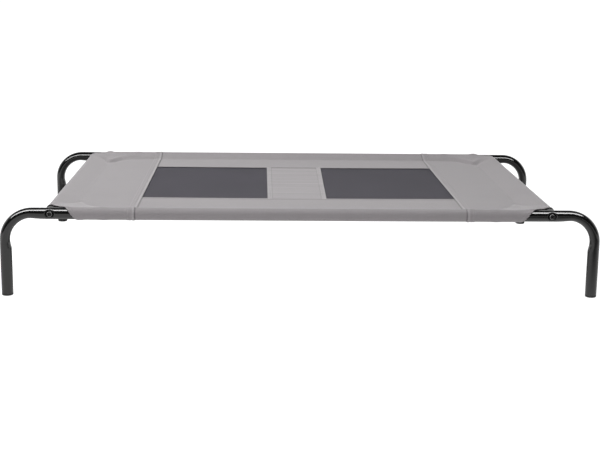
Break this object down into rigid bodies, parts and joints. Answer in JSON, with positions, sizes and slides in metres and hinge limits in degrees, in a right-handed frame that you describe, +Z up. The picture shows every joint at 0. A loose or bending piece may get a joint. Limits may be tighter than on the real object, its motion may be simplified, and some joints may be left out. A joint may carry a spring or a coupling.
{
  "type": "raised dog bed",
  "caption": "Raised dog bed: a black steel tube frame on bent legs, with a flat grey cloth cover held on the rails by sleeves and two open net panels in its middle.",
  "frame": {"origin": "on the floor, under the middle of the bed", "axes": "+X along the bed's length to the right, +Y from the front long side to the rear one, +Z up"},
  "size_m": [1.304, 0.803, 0.1955],
  "materials": {
    "frame_paint": "gloss black powder coat",
    "foot_plastic": "satin moulded black",
    "plug_plastic": "satin moulded black",
    "bolt_steel": "black oxide",
    "nut_steel": "zinc plated",
    "cover_cloth": "plain weave grey polyester",
    "cover_net": "open dark grey knitted net"
  },
  "bodies": {
    "root": {"front_left_leg": "frame_paint", "front_right_leg": "frame_paint", "rear_left_leg": "frame_paint", "rear_right_leg": "frame_paint", "front_rail": "frame_paint", "rear_rail": "frame_paint", "left_cross_rail": "frame_paint", "right_cross_rail": "frame_paint", "front_left_foot_cap": "foot_plastic", "front_right_foot_cap": "foot_plastic", "rear_left_foot_cap": "foot_plastic", "rear_right_foot_cap": "foot_plastic", "front_left_end_plug": "plug_plastic", "front_right_end_plug": "plug_plastic", "rear_left_end_plug": "plug_plastic", "rear_right_end_plug": "plug_plastic", "left_end_panel": "cover_cloth", "right_end_panel": "cover_cloth", "front_band": "cover_cloth", "rear_band": "cover_cloth", "centre_band": "cover_cloth", "left_net": "cover_net", "right_net": "cover_net", "bolts": "bolt_steel", "nuts": "nut_steel"}
  },
  "joints": []
}
